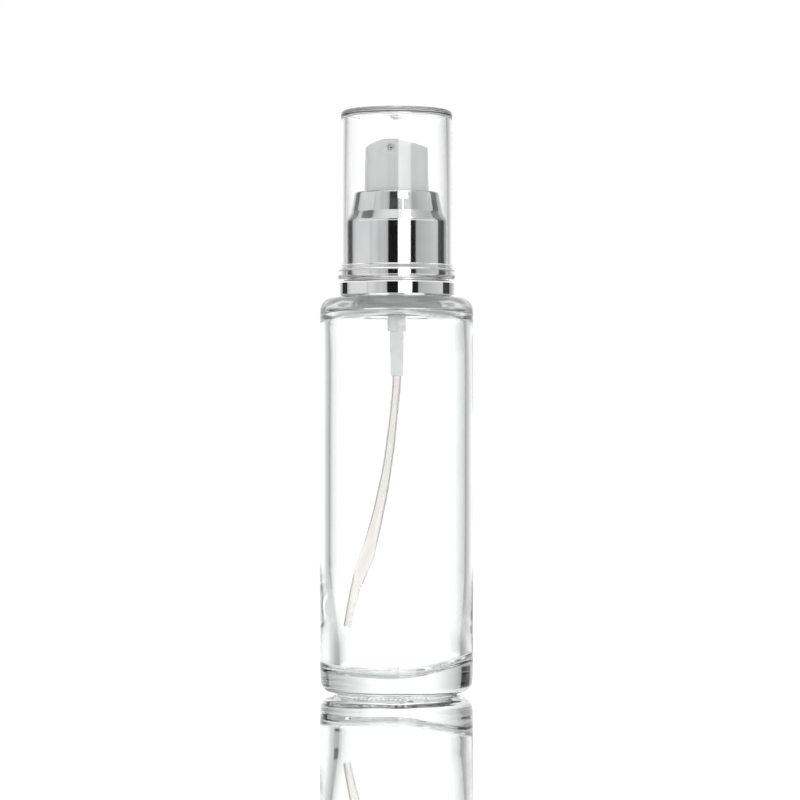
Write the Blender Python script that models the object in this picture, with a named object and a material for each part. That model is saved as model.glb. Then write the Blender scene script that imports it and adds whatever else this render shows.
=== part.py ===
"""Clear glass foundation bottle with a screw-on lotion pump, a bright metal collar and a clear overcap.

Lengths are in millimetres until MM turns them into Blender's metres. The origin is the centre of the
base, +Z runs up the axis of the bottle, and the nozzle faces -Y. Every joint runs along or about Z.
"""

import math

import bmesh
import bpy
from mathutils import Matrix, Vector

MM = 0.001
GAP = 0.3  # between pieces that touch
ROUND_LARGE = 40  # facets round a large piece
ROUND_SMALL = 28

# Bottle
BOTTLE_R = 18.5
BOTTLE_INNER_R = 16.3
BASE_FILLET = 2.8
BEARING_RING_IN = 13.9
PUNT_Z = 1.2
FLOOR_Z = 6.3
FLOOR_SWEEP_Z = 22.0  # where the inner wall starts to sweep in to the thick base
SHOULDER_CORNER = 3.2
SHOULDER_SIDE_Z = 92.2
SHOULDER_THICK = 2.8
NECK_BASE_Z = 95.9
NECK_TOP_Z = 110.0
NECK_R = 8.85
NECK_BORE_R = 7.0

# Screw thread, one start, right hand
PITCH = 3.175
THREAD_TURNS = 1.5
THREAD_STEPS = 28  # in one turn
THREAD_RUN_OUT = 4  # steps over which each end fades
THREAD_START_Z = 101.6
THREAD_CREST_R = 9.85
THREAD_HALF_ROOT = 1.0
THREAD_HALF_CREST = 0.4
THREAD_BURIED = 0.4

# Screw closure and its metal sleeve
CLOSURE_R = 11.3
CLOSURE_INNER_R = 10.2
CLOSURE_CREST_R = 9.2
CLOSURE_HALF_ROOT = 0.6
CLOSURE_HALF_CREST = 0.3
CLOSURE_BOTTOM_Z = 96.5
CLOSURE_FLANGE_R = 13.3
DECK_HOLE_R = 6.4
DECK_THICK = 1.3
SLEEVE_R = 12.1
SLEEVE_WALL = 0.5
SLEEVE_BOTTOM_Z = 96.1
SLEEVE_FLANGE_R = 14.1
SLEEVE_FLANGE_TOP_Z = 99.4
SLEEVE_SHOULDER_Z = 113.7
SLEEVE_SHOULDER_CORNER = 1.4
SLEEVE_WAIST_R = 10.9
SLEEVE_WAIST_Z = 116.8
SLEEVE_TOP_R = 10.25
SLEEVE_TOP_Z = 120.95
SLEEVE_RIM_CORNER = 0.65
SLEEVE_MOUTH_R = 8.2

# Overcap
CAP_BOTTOM_Z = 99.8
CAP_TOP_Z = 141.0
CAP_R = 13.5
CAP_INNER_R = SLEEVE_R + GAP
CAP_BEAD_R = 14.15
CAP_BEAD_TOP_Z = 102.6
CAP_TOP_THICK = 1.5
GATE_MARK_R = 1.5

# Pump cylinder
GASKET_THICK = 0.9
FLANGE_R = 8.6
FLANGE_THICK = 1.1
FLANGE_Z = NECK_TOP_Z + GAP + GASKET_THICK + GAP
CYLINDER_R = 4.6
PUMP_BORE_R = 3.6
PUMP_FLOOR_Z = 98.8
CAGE_R = 2.2
CAGE_BORE_R = 1.7
CAGE_LIP_R = 1.2
CAGE_TOP_Z = 100.1
CAGE_SLOT_HALF = 0.35
SEAT_TOP_Z = 97.0
SEAT_LOW_Z = 96.2
CYLINDER_FOOT_Z = 98.2
TAIL_R = 2.225
TAIL_TOP_Z = 95.4
TAIL_STEP_Z = 87.3
SPIGOT_R = 1.675
SPIGOT_TIP_R = 1.525
SPIGOT_STEP_Z = 82.9
SPIGOT_TIP_Z = 76.7
INLET_R = 0.8
TUBE_SOCKET_TOP_Z = 86.8
VENT_R = 0.4
VENT_Z = 108.6

# Ball valve
BALL_R = 1.35
BALL_Z = 97.43

# Return spring
WIRE_R = 0.24
SPRING_R = 2.72
SPRING_LOW_Z = PUMP_FLOOR_Z + GAP + WIRE_R
SPRING_HIGH_Z = 105.1
ACTIVE_TURNS = 2

# Valve core, piston and stem
CORE_SEAT_Z = 105.64
CORE_SEAT_R = 3.15
CORE_HEAD_R = 2.5
CORE_HEAD_TOP_Z = 107.6
CORE_SHANK_R = 1.2
CORE_TOP_Z = 113.5
FLUTES = 3
FLUTE_R = 0.45
FLUTE_OFFSET = 1.25
PISTON_LIP_R = 3.45
PISTON_WALL_R = 3.2
PISTON_BORE_R = 2.15
PISTON_LOW_Z = 107.0
PISTON_HIGH_Z = 110.2
WEB_LOW_Z = 107.9
WEB_HIGH_Z = 109.2
STEM_R = 2.4
STEM_BORE_R = 1.4
STEM_FOOT_R = 2.75
STEM_FOOT_Z = 110.0
STEM_TAIL_R = 1.95
STEM_SLOT_WIDTH = 1.0
STEM_TOP_Z = 125.6

# Stem guide, snapped over the top of the cylinder
GUIDE_BORE_R = 2.65
GUIDE_R = 6.1
GUIDE_PLUG_Z = 111.1
RIM_R = 5.4
RIM_Z = 113.9

# Actuator
HEAD_BOTTOM_Z = 119.2
HEAD_BOTTOM_R = 7.8
HEAD_TOP_Z = 133.4
HEAD_TOP_R = 7.55
HEAD_WALL = 1.1
HEAD_ROOF_Z = 129.2
RIDGE_HALF = 1.5
RIDGE_EDGE_Z = 131.7
BOSS_R = 3.9
BOSS_BOTTOM_Z = 120.6
NOZZLE_R = 0.95
NOZZLE_Z = 131.3
NOZZLE_DEPTH = 1.6
CHANNEL_R = 0.6
FACET_WIDTH = 4.6
FACET_BOTTOM_Z = 129.0

# Dip tube
TUBE_R = 1.1
TUBE_BORE_R = 0.7
TUBE_FIT = 0.12  # between the tube and its socket
TUBE_HEADING = 192.0  # degrees about Z, the way the tube leans
TUBE_ROUTE = (  # sideways, height
    (0.0, 86.5),
    (0.0, 76.0),
    (0.7, 68.0),
    (2.0, 57.0),
    (3.9, 46.5),
    (6.6, 35.5),
    (9.9, 25.5),
    (12.2, 16.3),
)
TUBE_STEPS = 3  # rings between two points of the route


def clear_scene():
    for item in list(bpy.data.objects):
        bpy.data.objects.remove(item, do_unlink=True)


def finish_of(name, colour, roughness, metallic=0.0, transmission=0.0, ior=1.5):
    """A Principled material named after its node."""
    made = bpy.data.materials.new(name)
    made.use_nodes = True
    shader = made.node_tree.nodes["Principled BSDF"]
    shader.inputs["Base Color"].default_value = (*colour, 1.0)
    shader.inputs["Roughness"].default_value = roughness
    shader.inputs["Metallic"].default_value = metallic
    shader.inputs["Transmission Weight"].default_value = transmission
    shader.inputs["IOR"].default_value = ior
    return made


def clear_glass(name):
    return finish_of(name, (0.97, 0.98, 0.98), 0.02, transmission=1.0, ior=1.52)


def clear_plastic(name):
    return finish_of(name, (0.98, 0.98, 0.98), 0.03, transmission=1.0, ior=1.49)


def natural_plastic(name):
    return finish_of(name, (0.86, 0.86, 0.87), 0.32, transmission=0.3, ior=1.49)


def bright_metal(name):
    return finish_of(name, (0.9, 0.9, 0.91), 0.05, metallic=1.0)


def steel(name):
    return finish_of(name, (0.62, 0.61, 0.6), 0.22, metallic=1.0)


def placed(name, bm, finish, parent):
    """An object made from a closed bmesh in millimetres, smooth on its round faces."""
    bmesh.ops.recalc_face_normals(bm, faces=bm.faces)
    bmesh.ops.scale(bm, vec=(MM, MM, MM), verts=bm.verts)
    mesh = bpy.data.meshes.new(name)
    bm.to_mesh(mesh)
    bm.free()
    mesh.shade_smooth()
    mesh.set_sharp_from_angle(angle=math.radians(30))
    item = bpy.data.objects.new(name, mesh)
    bpy.context.scene.collection.objects.link(item)
    item.parent = parent
    if finish is not None:
        mesh.materials.append(finish)
    return item


def arc(centre_r, centre_z, radius, start, end, steps=4, radius_z=None):
    """Points of a round or oval corner, between two angles in degrees from +R towards +Z."""
    radius_z = radius if radius_z is None else radius_z
    angles = [math.radians(start + (end - start) * i / steps) for i in range(steps + 1)]
    return [(centre_r + radius * math.cos(a), centre_z + radius_z * math.sin(a)) for a in angles]


def turned_bmesh(outline, segments):
    """Spins (radius, height) points about Z. They are a closed loop unless both ends lie on the axis."""
    bm = bmesh.new()
    points = [bm.verts.new((r, 0.0, z)) for r, z in outline]
    pairs = list(zip(points, points[1:]))
    if outline[0][0] > 0.0:
        pairs.append((points[-1], points[0]))
    line = points + [bm.edges.new(pair) for pair in pairs]
    about_z = {"cent": (0, 0, 0), "axis": (0, 0, 1), "angle": math.tau}
    bmesh.ops.spin(bm, geom=line, steps=segments, use_merge=True, **about_z)
    bmesh.ops.remove_doubles(bm, verts=bm.verts, dist=1e-5)
    return bm


def turned(name, outline, segments, finish, parent):
    return placed(name, turned_bmesh(outline, segments), finish, parent)


def ring(bm, points):
    return [bm.verts.new(point) for point in points]


def bridge(bm, first, second):
    count = len(first)
    for i in range(count):
        j = (i + 1) % count
        bm.faces.new((first[i], first[j], second[j], second[i]))


def swept_bmesh(sections):
    """A solid through a list of rings, closed by a face at each end."""
    bm = bmesh.new()
    rings = [ring(bm, points) for points in sections]
    for first, second in zip(rings, rings[1:]):
        bridge(bm, first, second)
    bm.faces.new(rings[0])
    bm.faces.new(rings[-1])
    return bm


def circle_across(centre, direction, radius, sides):
    """Points of a circle about centre, square to direction, with no twist from ring to ring."""
    side = direction.cross(Vector((0, 1, 0))).normalized()
    up = side.cross(direction).normalized()
    angles = [math.tau * i / sides for i in range(sides)]
    return [centre + radius * (math.cos(a) * side + math.sin(a) * up) for a in angles]


def hidden(name, bm, parent):
    """A helper that a Boolean modifier reads. It isn't a piece of the bottle."""
    item = placed(name, bm, None, parent)
    item.hide_render = True
    item.display_type = "WIRE"
    return item


def combine(item, helper, operation):
    modifier = item.modifiers.new(helper.name, "BOOLEAN")
    modifier.operation = operation
    modifier.solver = "EXACT"
    modifier.object = helper


def box_bmesh(low, high):
    bm = bmesh.new()
    size = [b - a for a, b in zip(low, high)]
    centre = [(a + b) / 2 for a, b in zip(low, high)]
    bmesh.ops.create_cube(bm, size=1.0, matrix=Matrix.Translation(centre) @ Matrix.Diagonal((*size, 1.0)))
    return bm


def rod_bmesh(start, end, radius, sides=16):
    """A straight round rod from start to end."""
    start = Vector(start)
    span = Vector(end) - start
    turn = span.to_track_quat("Z", "Y").to_matrix().to_4x4()
    place = Matrix.Translation(start + span / 2) @ turn
    bm = bmesh.new()
    bmesh.ops.create_cone(
        bm, cap_ends=True, segments=sides, radius1=radius, radius2=radius, depth=span.length, matrix=place
    )
    return bm


def thread_bmesh(buried_r, crest_r, start_z, half_root, half_crest):
    """One helical ridge from buried_r to crest_r, which fades into the wall at both ends."""
    steps = round(THREAD_TURNS * THREAD_STEPS)
    sections = []
    for i in range(steps + 1):
        angle = math.tau * i / THREAD_STEPS
        z = start_z + PITCH * i / THREAD_STEPS
        rise = min(1.0, 0.15 + min(i, steps - i) / THREAD_RUN_OUT)
        tip_r = buried_r + (crest_r - buried_r) * rise
        corners = ((buried_r, -half_root), (tip_r, -half_crest), (tip_r, half_crest), (buried_r, half_root))
        sections.append([(r * math.cos(angle), r * math.sin(angle), z + dz) for r, dz in corners])
    return swept_bmesh(sections)


def glass_bottle(parent):
    """Bottle with a punt and bearing ring below, a thick base, a rounded shoulder and a threaded neck."""
    inner_ceiling = SHOULDER_SIDE_Z + SHOULDER_CORNER - SHOULDER_THICK
    inner_corner = 3.0
    fillet_r = BOTTLE_R - BASE_FILLET
    sweep_r = 9.8
    outline = [(0, PUNT_Z), (8.0, PUNT_Z - 0.2), (12.6, 0.5), (BEARING_RING_IN, 0)]
    outline += arc(fillet_r, BASE_FILLET, BASE_FILLET, -90, 0)
    outline += arc(BOTTLE_R - SHOULDER_CORNER, SHOULDER_SIDE_Z, SHOULDER_CORNER, 0, 85)
    outline += [(NECK_R + 1.1, NECK_BASE_Z), (NECK_R + 0.3, NECK_BASE_Z + 0.3)]
    outline += [(NECK_R, NECK_BASE_Z + 1.0)]
    outline += arc(NECK_R - 0.6, NECK_TOP_Z - 0.6, 0.6, 0, 90, 2)
    outline += [(NECK_BORE_R + 0.4, NECK_TOP_Z), (NECK_BORE_R, NECK_TOP_Z - 0.4)]
    outline += [(NECK_BORE_R, inner_ceiling + 2.4), (NECK_BORE_R + 0.4, inner_ceiling + 1.2)]
    outline += [(NECK_BORE_R + 1.6, inner_ceiling + 0.6)]
    outline += arc(BOTTLE_INNER_R - inner_corner, inner_ceiling - inner_corner, inner_corner, 90, 0)
    outline += arc(sweep_r, FLOOR_SWEEP_Z, BOTTLE_INNER_R - sweep_r, 0, -90, 6, FLOOR_SWEEP_Z - FLOOR_Z)
    outline += [(0, FLOOR_Z)]
    bottle = turned("glass_bottle", outline, ROUND_LARGE, clear_glass("glass_bottle"), parent)
    ridge = thread_bmesh(
        NECK_R - THREAD_BURIED, THREAD_CREST_R, THREAD_START_Z, THREAD_HALF_ROOT, THREAD_HALF_CREST
    )
    combine(bottle, hidden("neck_thread_helper", ridge, parent), "UNION")


def neck_gasket(parent):
    low = NECK_TOP_Z + GAP
    high = low + GASKET_THICK
    inside = NECK_BORE_R + 0.1
    outside = NECK_R - 0.05
    outline = [(inside, low), (outside, low), (outside, high), (inside, high)]
    finish = finish_of("neck_gasket", (0.88, 0.88, 0.86), 0.75)
    turned("neck_gasket", outline, ROUND_SMALL, finish, parent)


def pump_housing(parent):
    """Cylinder with its neck flange, ball cage, stepped tail, and socket for the dip tube."""
    flange_top = FLANGE_Z + FLANGE_THICK
    socket_r = TUBE_R + TUBE_FIT
    outline = [(PUMP_BORE_R, RIM_Z), (PUMP_BORE_R, PUMP_FLOOR_Z)]
    outline += [(CAGE_R, PUMP_FLOOR_Z), (CAGE_R, CAGE_TOP_Z)]
    outline += [(CAGE_LIP_R, CAGE_TOP_Z), (CAGE_LIP_R, CAGE_TOP_Z - 0.35)]
    outline += [(CAGE_BORE_R, CAGE_TOP_Z - 0.6), (CAGE_BORE_R, SEAT_TOP_Z), (INLET_R, SEAT_LOW_Z)]
    outline += [(INLET_R, TUBE_SOCKET_TOP_Z), (socket_r, TUBE_SOCKET_TOP_Z), (socket_r, SPIGOT_TIP_Z)]
    outline += [(SPIGOT_TIP_R, SPIGOT_TIP_Z), (SPIGOT_TIP_R + 0.05, SPIGOT_STEP_Z)]
    outline += [(SPIGOT_R - 0.03, SPIGOT_STEP_Z + 0.2), (SPIGOT_R, TAIL_STEP_Z), (TAIL_R, TAIL_STEP_Z)]
    outline += [(TAIL_R, TAIL_TOP_Z), (CYLINDER_R - 0.3, CYLINDER_FOOT_Z - 0.5)]
    outline += [(CYLINDER_R, CYLINDER_FOOT_Z), (CYLINDER_R, FLANGE_Z)]
    outline += [(FLANGE_R, FLANGE_Z), (FLANGE_R, flange_top), (RIM_R, flange_top)]
    outline += [(RIM_R, RIM_Z - 0.3), (RIM_R - 0.3, RIM_Z)]
    housing = turned("pump_housing", outline, ROUND_SMALL, natural_plastic("pump_housing"), parent)
    slot_low = (-CAGE_BORE_R, -CAGE_SLOT_HALF, CAGE_TOP_Z - 0.9)
    slot_high = (CAGE_BORE_R, CAGE_SLOT_HALF, CAGE_TOP_Z + 0.5)
    slot = box_bmesh(slot_low, slot_high)
    combine(housing, hidden("cage_slot_helper", slot, parent), "DIFFERENCE")
    vent = rod_bmesh((0, PUMP_BORE_R - 0.8, VENT_Z), (0, CYLINDER_R + 0.8, VENT_Z), VENT_R, 10)
    combine(housing, hidden("vent_helper", vent, parent), "DIFFERENCE")


def stem_guide(parent):
    """Cap that snaps over the rim of the cylinder, holds the stem upright and keeps the piston in."""
    underside = RIM_Z + GAP
    top = underside + 1.0
    plug_r = PUMP_BORE_R - GAP
    skirt_r = RIM_R + GAP
    skirt_z = FLANGE_Z + FLANGE_THICK + GAP
    outline = [(GUIDE_BORE_R, GUIDE_PLUG_Z), (plug_r, GUIDE_PLUG_Z), (plug_r, underside)]
    outline += [(skirt_r, underside), (skirt_r, skirt_z), (GUIDE_R, skirt_z)]
    outline += [(GUIDE_R, top - 0.3), (GUIDE_R - 0.3, top), (GUIDE_BORE_R, top)]
    turned("stem_guide", outline, ROUND_SMALL, finish_of("stem_guide", (0.9, 0.9, 0.9), 0.35), parent)


def return_spring(parent):
    """Steel compression spring with one closed turn at each end."""
    steps = 18
    sides = 6
    up = Vector((0, 0, 1))
    closed_pitch = 2 * WIRE_R + 0.04
    active_pitch = (SPRING_HIGH_Z - SPRING_LOW_Z - 2 * closed_pitch) / ACTIVE_TURNS
    turns = ACTIVE_TURNS + 2
    sections = []
    for i in range(turns * steps + 1):
        turn = i / steps
        active = min(max(turn - 1, 0), ACTIVE_TURNS)
        z = SPRING_LOW_Z + active_pitch * active + closed_pitch * (turn - active)
        angle = math.tau * turn
        outward = Vector((math.cos(angle), math.sin(angle), 0))
        centre = SPRING_R * outward + z * up
        corners = [math.tau * k / sides for k in range(sides)]
        sections.append([centre + WIRE_R * (math.cos(a) * outward + math.sin(a) * up) for a in corners])
    placed("return_spring", swept_bmesh(sections), steel("return_spring"), parent)


def check_ball(parent):
    bm = bmesh.new()
    place = Matrix.Translation((0, 0, BALL_Z))
    bmesh.ops.create_uvsphere(bm, u_segments=16, v_segments=10, radius=BALL_R, matrix=place)
    placed("check_ball", bm, steel("check_ball"), parent)


def smooth_path(points, steps):
    """Points of a Catmull-Rom curve through the given points."""
    padded = [2 * points[0] - points[1], *points, 2 * points[-1] - points[-2]]
    path = []
    for a, b, c, d in zip(padded, padded[1:], padded[2:], padded[3:]):
        for i in range(steps):
            t = i / steps
            bend = (2 * a - 5 * b + 4 * c - d) * t**2 + (3 * b - a - 3 * c + d) * t**3
            path.append((2 * b + (c - a) * t + bend) / 2)
    return [*path, points[-1]]


def dip_tube(parent):
    """Tube from the spigot to the foot of the wall, which keeps the bend of the coil it was cut from."""
    lean = math.radians(TUBE_HEADING)
    heading = Vector((math.cos(lean), math.sin(lean), 0))
    route = [heading * side + Vector((0, 0, z)) for side, z in TUBE_ROUTE]
    path = smooth_path(route, TUBE_STEPS)
    sides = 10
    bm = bmesh.new()
    outer = []
    inner = []
    for i, centre in enumerate(path):
        ahead = (path[min(i + 1, len(path) - 1)] - path[max(i - 1, 0)]).normalized()
        outer.append(ring(bm, circle_across(centre, ahead, TUBE_R, sides)))
        inner.append(ring(bm, circle_across(centre, ahead, TUBE_BORE_R, sides)))
    for wall in (outer, inner):
        for first, second in zip(wall, wall[1:]):
            bridge(bm, first, second)
    bridge(bm, outer[0], inner[0])
    bridge(bm, outer[-1], inner[-1])
    placed("dip_tube", bm, clear_plastic("dip_tube"), parent)


def piston(parent):
    """Sliding seal with a lip that points up and one that points down."""
    lip = 0.7
    groove_r = PISTON_WALL_R - 0.3
    outline = [(PISTON_LIP_R, PISTON_LOW_Z), (PISTON_WALL_R, PISTON_LOW_Z + lip)]
    outline += [(PISTON_WALL_R, PISTON_HIGH_Z - lip), (PISTON_LIP_R, PISTON_HIGH_Z)]
    outline += [(groove_r + 0.2, PISTON_HIGH_Z), (groove_r, WEB_HIGH_Z), (PISTON_BORE_R, WEB_HIGH_Z)]
    outline += [(PISTON_BORE_R, WEB_LOW_Z), (groove_r, WEB_LOW_Z), (groove_r + 0.15, PISTON_LOW_Z)]
    turned("piston", outline, ROUND_SMALL, finish_of("piston", (0.93, 0.93, 0.92), 0.45), parent)


def valve_core(parent):
    """Plug on the foot of the stem. The spring bears on its seat, and its head shuts the piston's bore."""
    nub_r = SPRING_R - 2 * WIRE_R
    nub_z = CORE_SEAT_Z - 1.1
    outline = [(0, nub_z), (nub_r - 0.3, nub_z), (nub_r, nub_z + 0.3), (nub_r, CORE_SEAT_Z)]
    outline += [(CORE_SEAT_R, CORE_SEAT_Z), (CORE_SEAT_R, CORE_SEAT_Z + 0.7)]
    outline += [(CORE_HEAD_R, CORE_SEAT_Z + 0.9), (CORE_HEAD_R, CORE_HEAD_TOP_Z - 0.1)]
    outline += [(CORE_HEAD_R - 0.1, CORE_HEAD_TOP_Z), (CORE_SHANK_R, CORE_HEAD_TOP_Z)]
    outline += [(CORE_SHANK_R, CORE_TOP_Z - 0.4), (CORE_SHANK_R - 0.5, CORE_TOP_Z), (0, CORE_TOP_Z)]
    finish = finish_of("valve_core", (0.92, 0.92, 0.9), 0.35)
    core = turned("valve_core", outline, ROUND_SMALL, finish, parent)
    for k in range(FLUTES):
        angle = math.tau * k / FLUTES
        x = FLUTE_OFFSET * math.cos(angle)
        y = FLUTE_OFFSET * math.sin(angle)
        flute = rod_bmesh((x, y, CORE_HEAD_TOP_Z + 0.25), (x, y, CORE_TOP_Z + 1.0), FLUTE_R, 8)
        combine(core, hidden(f"flute_helper_{k}", flute, parent), "DIFFERENCE")


def pump_stem(parent):
    """Hollow stem. Its slotted tail stands in the piston, and its foot can't pass the stem guide."""
    tail_z = CORE_HEAD_TOP_Z + GAP
    foot_top = STEM_FOOT_Z + 0.8
    outline = [(STEM_BORE_R, tail_z), (STEM_TAIL_R, tail_z)]
    outline += [(STEM_TAIL_R, STEM_FOOT_Z), (STEM_FOOT_R, STEM_FOOT_Z)]
    outline += [(STEM_FOOT_R, foot_top - 0.2), (STEM_R, foot_top), (STEM_R, STEM_TOP_Z - 0.4)]
    outline += [(STEM_R - 0.3, STEM_TOP_Z), (STEM_BORE_R, STEM_TOP_Z)]
    stem = turned("pump_stem", outline, ROUND_SMALL, finish_of("pump_stem", (0.9, 0.9, 0.9), 0.35), parent)
    half = STEM_SLOT_WIDTH / 2
    slot = box_bmesh((-STEM_R - 0.5, -half, tail_z - 0.5), (STEM_R + 0.5, half, tail_z + 1.1))
    combine(stem, hidden("stem_slot_helper", slot, parent), "DIFFERENCE")


def roof_cutter_bmesh(side):
    """Wedge that slopes the top of the actuator down on one side of its ridge."""
    reach = HEAD_BOTTOM_R + 2.0
    slope = (HEAD_TOP_Z - RIDGE_EDGE_Z) / (HEAD_TOP_R - RIDGE_HALF)
    low = HEAD_TOP_Z - slope * (reach - RIDGE_HALF)
    corners = ((RIDGE_HALF, HEAD_TOP_Z), (reach, low), (reach, HEAD_TOP_Z + 3), (RIDGE_HALF, HEAD_TOP_Z + 3))
    ends = [[(side * x, y, z) for x, z in corners] for y in (-reach, reach)]
    return swept_bmesh(ends)


def actuator(parent):
    """Press head: a tapered shell with a ridged roof, a socket for the stem, and an angled liquid channel."""
    socket_r = STEM_R + GAP
    socket_top = STEM_TOP_Z + GAP
    skirt_inner_r = HEAD_BOTTOM_R - HEAD_WALL
    top = HEAD_TOP_Z
    outline = [(0, socket_top), (socket_r, socket_top), (socket_r, BOSS_BOTTOM_Z), (BOSS_R, BOSS_BOTTOM_Z)]
    outline += [(BOSS_R + 0.2, HEAD_ROOF_Z), (HEAD_TOP_R - HEAD_WALL, HEAD_ROOF_Z)]
    outline += [(skirt_inner_r, HEAD_BOTTOM_Z), (HEAD_BOTTOM_R, HEAD_BOTTOM_Z), (HEAD_TOP_R, top), (0, top)]
    head = turned("actuator", outline, ROUND_LARGE, natural_plastic("actuator"), parent)
    for side, name in ((-1, "left"), (1, "right")):
        combine(head, hidden(f"roof_helper_{name}", roof_cutter_bmesh(side), parent), "DIFFERENCE")
    facet_y = -math.sqrt(HEAD_TOP_R**2 - (FACET_WIDTH / 2) ** 2)
    facet = box_bmesh((-4.0, facet_y - 3.0, FACET_BOTTOM_Z), (4.0, facet_y, top + 3.0))
    combine(head, hidden("facet_helper", facet, parent), "DIFFERENCE")
    nozzle = rod_bmesh((0, facet_y - 2.0, NOZZLE_Z), (0, facet_y + NOZZLE_DEPTH, NOZZLE_Z), NOZZLE_R, 20)
    combine(head, hidden("nozzle_helper", nozzle, parent), "DIFFERENCE")
    across = rod_bmesh((0, facet_y + 1.0, NOZZLE_Z), (0, CHANNEL_R, NOZZLE_Z), CHANNEL_R, 12)
    combine(head, hidden("channel_helper_across", across, parent), "DIFFERENCE")
    up = rod_bmesh((0, 0, socket_top - 0.5), (0, 0, NOZZLE_Z), CHANNEL_R - 0.05, 12)
    combine(head, hidden("channel_helper_up", up, parent), "DIFFERENCE")


def inner_closure(parent):
    """Screw closure. Its deck presses the pump flange on the neck, and its foot flange backs the sleeve."""
    deck_z = FLANGE_Z + FLANGE_THICK + GAP
    top = deck_z + DECK_THICK
    flange_top = SLEEVE_FLANGE_TOP_Z - SLEEVE_WALL - GAP
    outline = [(CLOSURE_INNER_R, CLOSURE_BOTTOM_Z), (CLOSURE_FLANGE_R, CLOSURE_BOTTOM_Z)]
    outline += [(CLOSURE_FLANGE_R, flange_top), (CLOSURE_R, flange_top), (CLOSURE_R, top - 0.8)]
    outline += [(CLOSURE_R - 0.8, top), (DECK_HOLE_R, top)]
    outline += [(DECK_HOLE_R, deck_z), (CLOSURE_INNER_R, deck_z)]
    finish = finish_of("inner_closure", (0.92, 0.92, 0.92), 0.4)
    closure = turned("inner_closure", outline, ROUND_LARGE, finish, parent)
    start_z = THREAD_START_Z - THREAD_HALF_ROOT - GAP
    buried_r = CLOSURE_INNER_R + THREAD_BURIED
    ridge = thread_bmesh(buried_r, CLOSURE_CREST_R, start_z, CLOSURE_HALF_ROOT, CLOSURE_HALF_CREST)
    combine(closure, hidden("closure_thread_helper", ridge, parent), "UNION")


def sleeve_outside(inset, bottom_z):
    """The sleeve's outer line from its bottom edge to its top rim, moved inwards by inset."""
    flange_r = SLEEVE_FLANGE_R - inset
    flange_z = SLEEVE_FLANGE_TOP_Z - inset
    line = [(flange_r, bottom_z)]
    line += arc(flange_r - 0.35, flange_z - 0.35, 0.35, 0, 90, 2)
    line += [(SLEEVE_R - inset, flange_z)]
    corner = SLEEVE_SHOULDER_CORNER
    line += arc(SLEEVE_R - inset - corner, SLEEVE_SHOULDER_Z, corner, 0, 42, 3)
    line += [(SLEEVE_WAIST_R - inset + 0.3, SLEEVE_WAIST_Z - 0.95)]
    line += [(SLEEVE_WAIST_R - inset, SLEEVE_WAIST_Z)]
    corner = SLEEVE_RIM_CORNER
    line += arc(SLEEVE_TOP_R - inset - corner, SLEEVE_TOP_Z - inset - corner, corner, 10, 90, 3)
    return line


def chrome_collar(parent):
    """Bright sleeve over the closure, with a foot flange below the overcap's lower edge."""
    outside = sleeve_outside(0.0, SLEEVE_BOTTOM_Z)
    inside = sleeve_outside(SLEEVE_WALL, SLEEVE_BOTTOM_Z)
    mouth = [(SLEEVE_MOUTH_R, SLEEVE_TOP_Z), (SLEEVE_MOUTH_R, SLEEVE_TOP_Z - SLEEVE_WALL)]
    outline = outside + mouth + inside[::-1]
    turned("chrome_collar", outline, ROUND_LARGE, bright_metal("chrome_collar"), parent)


def overcap(parent):
    """Clear cap with a slightly domed top, a bead round its mouth and the gate mark under its top."""
    bottom = CAP_BOTTOM_Z
    ceiling = CAP_TOP_Z - CAP_TOP_THICK
    corner = 1.2
    inner_corner = 0.8
    outline = [(0, CAP_TOP_Z), (CAP_R - 3.0, CAP_TOP_Z - 0.1)]
    outline += arc(CAP_R - corner, CAP_TOP_Z - 0.2 - corner, corner, 85, 0)
    outline += [(CAP_R, CAP_BEAD_TOP_Z + 0.6), (CAP_BEAD_R - 0.2, CAP_BEAD_TOP_Z + 0.2)]
    outline += [(CAP_BEAD_R, CAP_BEAD_TOP_Z), (CAP_BEAD_R, bottom + 0.3), (CAP_BEAD_R - 0.3, bottom)]
    outline += [(CAP_INNER_R + 0.5, bottom), (CAP_INNER_R, bottom + 0.8)]
    outline += arc(CAP_INNER_R - inner_corner, ceiling - inner_corner, inner_corner, 0, 90, 3)
    outline += [(GATE_MARK_R + 0.2, ceiling), (GATE_MARK_R, ceiling - 0.3), (0, ceiling - 0.3)]
    turned("overcap", outline, ROUND_LARGE, clear_plastic("overcap"), parent)


def joint_empty(name, parent):
    """An empty on the axis, which the pieces of one moving body hang from."""
    empty = bpy.data.objects.new(name, None)
    empty.empty_display_size = 10 * MM
    bpy.context.scene.collection.objects.link(empty)
    empty.parent = parent
    return empty


def main():
    clear_scene()
    engine = joint_empty("engine_rise", None)
    closure = joint_empty("closure_turn", engine)
    cap = joint_empty("overcap_lift", closure)
    spin = joint_empty("head_spin", engine)
    press = joint_empty("head_press", spin)
    slip = joint_empty("piston_slip", press)
    ball = joint_empty("ball_lift", engine)
    glass_bottle(None)
    for make in (neck_gasket, pump_housing, stem_guide, dip_tube):
        make(engine)
    for make in (inner_closure, chrome_collar):
        make(closure)
    overcap(cap)
    return_spring(spin)
    for make in (valve_core, pump_stem, actuator):
        make(press)
    piston(slip)
    check_ball(ball)


main()
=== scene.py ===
"""Looks of a clear glass foundation bottle with its pump, bright collar and overcap, in a white studio.

Lengths in this file are millimetres until MM turns them into metres, unless a name says otherwise.
"""

import math

import bmesh
import bpy
from mathutils import Matrix, Vector


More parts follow.
